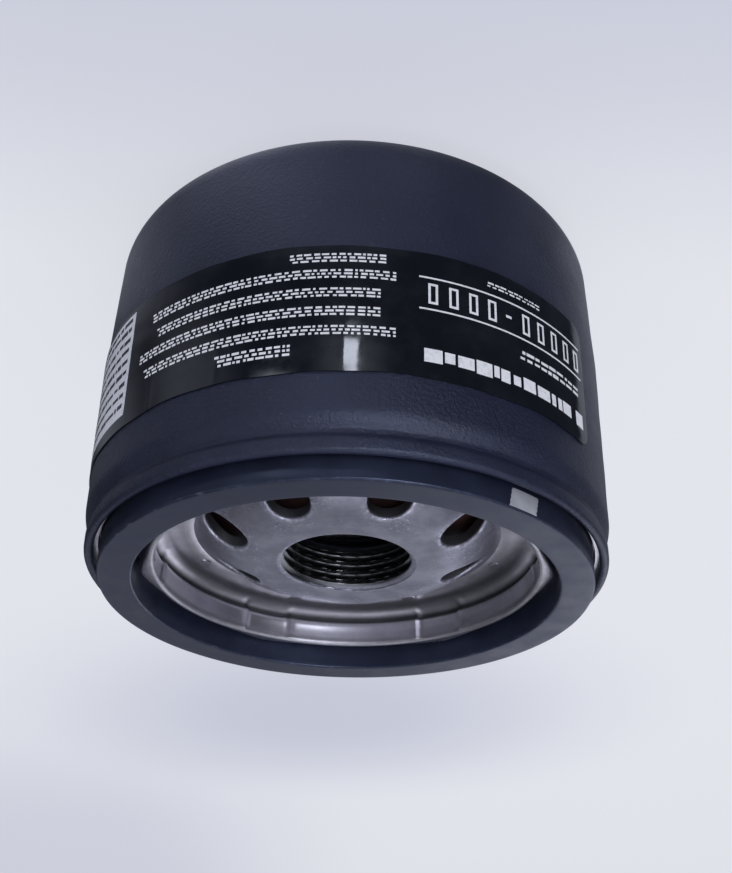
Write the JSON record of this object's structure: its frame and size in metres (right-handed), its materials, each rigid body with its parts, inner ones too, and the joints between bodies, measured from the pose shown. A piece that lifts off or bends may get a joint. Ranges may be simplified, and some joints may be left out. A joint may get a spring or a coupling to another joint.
{
  "type": "spin-on oil filter",
  "caption": "Short spin-on engine oil filter: painted can, dished base plate with threaded bore and inlet holes, flat gasket, paper element and valves inside.",
  "frame": {"origin": "centre of the closed end, on the surface that the filter stands on", "axes": "+Z along the can's axis, from the closed end to the open end with the thread and gasket; +X at the middle of the gap between two inlet holes, Y completes the right-handed frame"},
  "size_m": [0.0752, 0.0752, 0.055],
  "materials": {
    "can_paint": "satin blue-black paint with fine specks",
    "label_film": "glossy black printed film",
    "plate_steel": "grey plated steel, scuffed",
    "lid_steel": "drawn plated steel",
    "sealant": "cured compound",
    "gasket_rubber": "smooth dark grey rubber",
    "valve_rubber": "soft reddish brown rubber",
    "inner_steel": "tin-plated sheet",
    "filter_paper": "resin-cured paper",
    "spring_steel": "oiled spring steel"
  },
  "bodies": {
    "canister": {"shell": "can_paint", "label": "label_film", "base_plate": "plate_steel", "seaming_lid": "lid_steel", "seam_sealant": "sealant", "gasket": "gasket_rubber", "outlet_end_cap": "inner_steel", "closed_end_cap": "inner_steel", "center_tube": "inner_steel", "pleated_media": "filter_paper", "outlet_adhesive": "sealant", "closed_adhesive": "sealant", "media_seam_clip": "inner_steel", "bypass_valve_seat": "inner_steel", "bypass_spring": "spring_steel", "bypass_cage": "inner_steel", "support_spring": "spring_steel"},
    "drainback_valve": {"anti_drainback_valve": "valve_rubber"},
    "bypass_valve": {"bypass_poppet": "inner_steel", "bypass_poppet_seal": "gasket_rubber"}
  },
  "joints": [
    {"name": "drainback_lift", "type": "slide", "parent": "canister", "child": "drainback_valve", "axis": [0, 0, -1], "range_m": [0, 0.0012], "stiffness_N_per_m": 300, "springref_m": -0.0005, "deforming": ["anti_drainback_valve"]},
    {"name": "bypass_open", "type": "slide", "parent": "canister", "child": "bypass_valve", "axis": [0, 0, 1], "range_m": [0, 0.003], "stiffness_N_per_m": 2000, "springref_m": -0.004, "deforming": ["bypass_spring"]}
  ]
}
